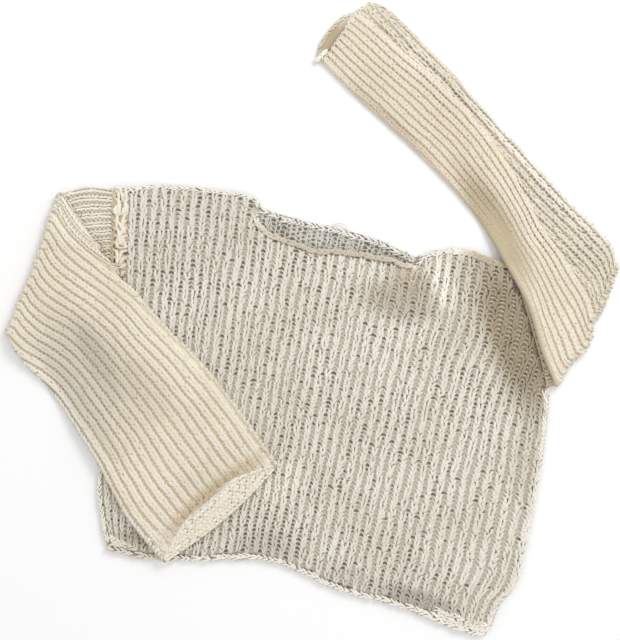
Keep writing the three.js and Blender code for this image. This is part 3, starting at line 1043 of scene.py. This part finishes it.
leftRows = garment["leftSleeveRows"]
leftUpper = sleeveWall("leftSleeveTop", leftSleeve, 0, sleeveLook, leftRows, 31)
leftLower = sleeveWall("leftSleeveUnder", leftSleeve, wales // 2, sleeveHidden, leftRows, 36)
leftSheet = sleeveSheet("leftSleeveBacking", leftSleeve, lambda u, v: (u * wales, v * leftRows),
                        [(0.03, 0.07, 0.4, 0.5, 1.2)])
leftCuff = cuffChain("leftCuffChain", leftSleeve, inside=7, yarn=2.25, seed=61)

rightRows = garment["rightSleeveRows"]


def wedgePlace(wale, row, height):
    across, along = wale / pleat["wedgeWales"], row / rightRows
    runShare = across * pleat["wedgeRun"]
    time = rightSleeve.time(along, runShare)
    share = rightSleeve.inset + across * (ridgeAt(time) - rightSleeve.inset)
    return rightSleeve.spot(along, share, -(rightSleeve.bend + height), 1, runShare)


def stripShare(wale, along):
    # How far across the sleeve a wale of the strip lies, how far along, and how far in from its side
    time = rightSleeve.time(along, 1 - (pleat["stripWales"] - wale) * pleat["runPerWale"])
    away = (pleat["stripWales"] - wale) * pleat["stripPitch"]
    return 1 - rightSleeve.inset - away / rightSleeve.span(time), time, away


def stripPlace(wale, row, height):
    along = row / rightRows
    share, time, away = stripShare(wale, along)
    angle = np.clip(-away / rightSleeve.bend, 0, math.pi)
    reach = rightSleeve.bend + height
    share = np.where(away < 0, 1 - rightSleeve.inset + reach * np.sin(angle) / rightSleeve.width, share)
    return rightSleeve.spot(along, share, -reach * np.cos(angle), (1 + np.cos(angle)) / 2,
                            1 - (pleat["stripWales"] - wale) * pleat["runPerWale"])


def stripShows(wale, row):
    share, time, away = stripShare(wale, row / rightRows)
    return (share > ridgeAt(time) - 0.03) & clearOfSeam(wale, row)


def pleatPattern(u, v):
    # Wales of the backing: the wedge's, then the strip's, then the other wall's
    share, h, upper = rightSleeve.section(u * rightSleeve.around * sleeveCloth["onceRound"], 0 * u)
    time = rightSleeve.time(v, share)
    away = (1 - rightSleeve.inset - share) * rightSleeve.span(time)
    onTop = np.where(share < ridgeAt(time), share / ridgeAt(time) * pleat["wedgeWales"],
                     pleat["stripWales"] - away / pleat["stripPitch"])
    return np.where(upper > 0.5, onTop, u * wales), v * rightRows


stripYarn = yarnWool("shaded sleeve wool", "shade", [
    ((272, 168), (170, 17), -47, 0.85, (250, 248, 240)),
])
stripLook = dict(stitch, yarn=1.75, depth=0.85, pitch=9.3)
rightUpper = knit("rightSleeveWedge", dict(sleeveLook, pitch=9.4), pleat["wedgeWales"], rightRows,
                  unevenly(wedgePlace, 41), clearOfSeam, sleeveYarn, 41)
rightStrip = knit("rightSleeveStrip", stripLook, pleat["stripWales"] + 1, rightRows,
                  unevenly(stripPlace, 43), stripShows, stripYarn, 43)
rightLower = sleeveWall("rightSleeveUnder", rightSleeve, wales // 2, sleeveHidden, rightRows, 46)
rightCuff = cuffChain("rightCuffChain", rightSleeve, inside=1, yarn=1.2, seed=62)
rightFelt = [(0.16, 0.16, 0.36, 0.12, 3.0), (0.0, 0.09, 0.15, 0.25, 2.6), (0.78, 0.05, 0.5, 0.2, 1.0)]
rightSheet = sleeveSheet("rightSleeveBacking", rightSleeve, pleatPattern, rightFelt)


def leftTopPlace(wale, row, height):
    return leftSleeve.tube(row / leftRows, wale / wales * leftSleeve.around, height)


leftFibres = fibres("leftSleeveFibres", hairs["onSleeve"], wales // 2, leftRows, leftTopPlace,
                    clearOfSeam, looseFibre, 33)
rightFibres = fibres("rightSleeveFibres", hairs["onSleeve"], pleat["wedgeWales"], rightRows, wedgePlace,
                     clearOfSeam, looseFibre, 44)
print("sleeves done")


# Edges
# Painted shade on the shoulder roll beside the right sleeve and at the hem's left corner under the cuff
edgeYarn = yarnWool("edge wool", "edge", [
    ((214, 68), (50, 18), -17, 0.95, (194, 180, 154)),
    ((-206, -268), (60, 18), -8, 0.6, (226, 215, 194)),
])
# Painted shade on the front neck roll; paler on the back neck edge
neckYarn = yarnWool("neck wool", "edge", [
    ((30, 82), (150, 24), -14, 1.0, (207, 196, 177)),
    ((34, 112), (140, 24), -18, 0.8, (246, 244, 239)),
])
# The chain along the left armhole is painted tan as the shade where the front meets the sleeve
shadedSeamYarn = yarnWool("shaded armhole seam wool", "edge", [
    ((-229, 92), (90, 30), 88, 1.0, (208, 191, 160)),
])
edges = {"stray": 0.9, "strayReach": 24, "panelDown": 0.5}


def chainAlong(name, line, start, end, aside, wide, height, look, material, seed, chains=1):
    # Chains of stitches along a line from one share of it to another, the first of them aside from
    # it and each as wide as said, in mm; height(x, y) is where the middle of the yarn lies
    rows = int(round((end - start) * line.length / look["row"]))

    def place(wale, row, lift):
        share = np.clip(mix(start, end, row / rows), 0, 1)
        x, y = line.at(share)
        hx, hy = line.heading(share)
        out = aside + (wale - 0.5) * (wide(share) if callable(wide) else wide)
        out = out + edges["stray"] * wander(x, y, edges["strayReach"], seed)
        x, y = x - hy * out, y + hx * out
        return x, y, height(x, y) + lift

    return knit(name, look, chains, rows, place, everyStitch, material, seed)


def frontEdgeHeight(x, y):
    return wall + gap + garment["rollHeight"] / 2 + swellAt(x, y)


def frontPanelHeight(x, y):
    return wall + gap + wall / 2 + swellAt(x, y) - edges["panelDown"]


def level(height):
    return lambda x, y: height + 0 * x


def hemWidth(share):
    # It opens out towards the right corner
    return mix(6.0, 8.5, smoothstep(share, 0.72, 0.95))


hemFront = chainAlong("hemChainFront", hemLine, 0.0, 1.0, -1.8, hemWidth, frontEdgeHeight,
                      dict(chain, uneven=3.0), edgeYarn, 51)
hemBack = chainAlong("hemChainBack", hemLine, 0.0, 1.0, -3.2, 5.0, level(2.0), chain, edgeYarn, 52)
neckFrontChain = chainAlong("neckChainFront", topFront, 0.378, 0.76, 1.2, 5.6, frontEdgeHeight,
                            dict(chain, yarn=2.5, flare=-0.03), neckYarn, 53)
neckBackChain = chainAlong("neckChainBack", topBack, 0.375, 0.765, -4.0, 6.5, level(2.4),
                           dict(chain, row=5.0, yarn=1.15, uneven=3.5), neckYarn, 54)
cornerLook = dict(chain, yarn=1.6, row=5.0, uneven=3.0)
selvedgeLook = dict(stitch, pitch=15.5, row=8.6, lean=0.06, flare=0.10, yarn=2.3, thin=0.9, depth=0.8,
                    uneven=4.0)
seams = [
    chainAlong("leftSideSeam", sideLeft, 0.36, 1.0, 1.5, 5.0, frontPanelHeight, chain, edgeYarn, 55),
    chainAlong("rightSideSeam", sideRight, 0.345, 1.0, -1.5, 5.0, frontPanelHeight, chain, edgeYarn, 56),
    chainAlong("leftShoulderSeam", topFront, 0.0, 0.35, -1.0, 5.0, frontPanelHeight, chain, edgeYarn, 57),
    chainAlong("rightShoulderSeam", topFront, 0.765, 0.88, -1.0, 5.0, frontPanelHeight,
               chain, edgeYarn, 58),
    chainAlong("rightShoulderRoll", topFront, 0.87, 1.0, -1.0, 7.0, frontPanelHeight,
               dict(chain, yarn=2.6, flare=-0.03), edgeYarn, 64),
    chainAlong("leftArmholeSeam", sideLeft, 0.0, 0.30, -0.5, 5.0, lambda x, y: frontPanelHeight(x, y) - 0.2,
               dict(chain, yarn=1.7, row=4.5, thin=0.9), shadedSeamYarn, 66),
    chainAlong("armholeSelvedge", sideLeft, 0.0, 0.37, 8.5, 17.0,
               lambda x, y: frontPanelHeight(x, y) + 0.8, selvedgeLook, sleeveYarn, 59),
    chainAlong("hemCornerRight", hemLine, 0.86, 1.0, 3.0, 5.5, frontEdgeHeight,
               cornerLook, edgeYarn, 60, 2),
    chainAlong("hemCornerLeft", hemLine, 0.0, 0.08, 4.0, lambda share: mix(6.5, 1.5, share / 0.08),
               frontEdgeHeight, cornerLook, edgeYarn, 63, 2),
]
rightCuffRoll = chainAlong("rightCuffRoll", Line([[6, 300], [14, 307], [21, 315]]), 0.0, 1.0, 0.0, 5.0,
                           level(5.6), dict(chain, yarn=2.6), edgeYarn, 65)


def strayLoop(name, line, high, arch, thick, material):
    # One slack loop of yarn that has slipped out past an edge, highest at its middle
    share = np.linspace(0, 1, 25)
    x, y = line.at(share)
    spine = bpy.data.curves.new(name, "CURVE")
    spine.dimensions = "3D"
    spine.bevel_depth = thick / 2000
    spine.bevel_resolution = 2
    spine.use_fill_caps = True
    strand = spine.splines.new("POLY")
    strand.points.add(len(share) - 1)
    for point, place in zip(strand.points, toModel(x, y, high + arch * np.sin(math.pi * share)).tolist()):
        point.co = (*place, 1)
    made = startObject(name, spine, material)
    bpy.ops.object.convert(target="MESH")
    bpy.ops.object.shade_smooth()
    return made


slackYarn = Line([[21, 102], [22, 107], [29, 112], [37, 112], [43, 107], [44, 100]])
neckLoop = strayLoop("neckStrayLoop", slackYarn, high=3.2, arch=1.2, thick=1.9, material=looseFibre)
print("edges done")

# Fit to the frame
stitchesOf = {
    frontSheet: [frontUpper, frontLower, frontFibres, hemFront, neckFrontChain] + seams,
    backSheet: [backStitches, hemBack, neckBackChain, neckLoop],
    leftSheet: [leftUpper, leftLower, leftCuff, leftFibres],
    rightSheet: [rightUpper, rightStrip, rightLower, rightCuff, rightCuffRoll, rightFibres],
}
for sheet, trims in stitchesOf.items():
    for piece in [sheet] + trims:
        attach(piece, "root")
for piece, node in ((frontSheet, "front"), (backSheet, "back"), (leftSheet, "sleeve_left"),
                    (rightSheet, "sleeve_right"), (hemFront, "hem_edging_front"),
                    (hemBack, "hem_edging_back"), (neckFrontChain, "neck_edging_front"),
                    (neckBackChain, "neck_edging_back")):
    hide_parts(node)
for piece in [leftSheet, rightSheet] + stitchesOf[leftSheet] + stitchesOf[rightSheet]:
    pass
for piece in [hemFront, hemBack, neckFrontChain, neckBackChain, neckLoop] + seams:
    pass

# Floor, light and camera
studio = {
    "floorTone": (255, 255, 255), "world": 0.82, "key": 14.0, "keyAt": (0.9, 1.1, 1.5), "keySize": 0.8,
    "cameraHeight": 2.0, "clothTop": 0.007, "field": 0.7424, "aim": (-0.00029, 0.00073), "sensor": 36,
}
bpy.ops.mesh.primitive_plane_add(size=6, location=(0, 0, 0))
floor = bpy.context.active_object
floor.name = "floor"
floorPaint = Paint("pale floor")
floorTone = floorPaint.blend(floorPaint.noise(floorPaint.place(), 3.0) * 0.1, colour(*studio["floorTone"]),
                             colour(252, 252, 251))
floor.data.materials.append(floorPaint.finish({"Base Color": floorTone, "Roughness": 0.9}))

world = bpy.data.worlds.new("studio")
world.use_nodes = True
world.node_tree.nodes["Background"].inputs["Color"].default_value = (1, 1, 1, 1)
world.node_tree.nodes["Background"].inputs["Strength"].default_value = studio["world"]
bpy.context.scene.world = world

bpy.ops.object.light_add(type="AREA", location=studio["keyAt"])
key = bpy.context.active_object
key.data.energy = studio["key"]
key.data.size = studio["keySize"]
key.rotation_mode = "QUATERNION"
key.rotation_quaternion = key.location.to_track_quat("Z", "Y")

bpy.ops.object.camera_add(location=(*studio["aim"], studio["cameraHeight"]), rotation=(0, 0, 0))
camera = bpy.context.active_object
camera.data.sensor_width = studio["sensor"]
camera.data.lens = studio["sensor"] * (studio["cameraHeight"] - studio["clothTop"]) / studio["field"]
bpy.context.scene.camera = camera
bpy.context.scene.view_settings.view_transform = "Standard"
print("studio done")
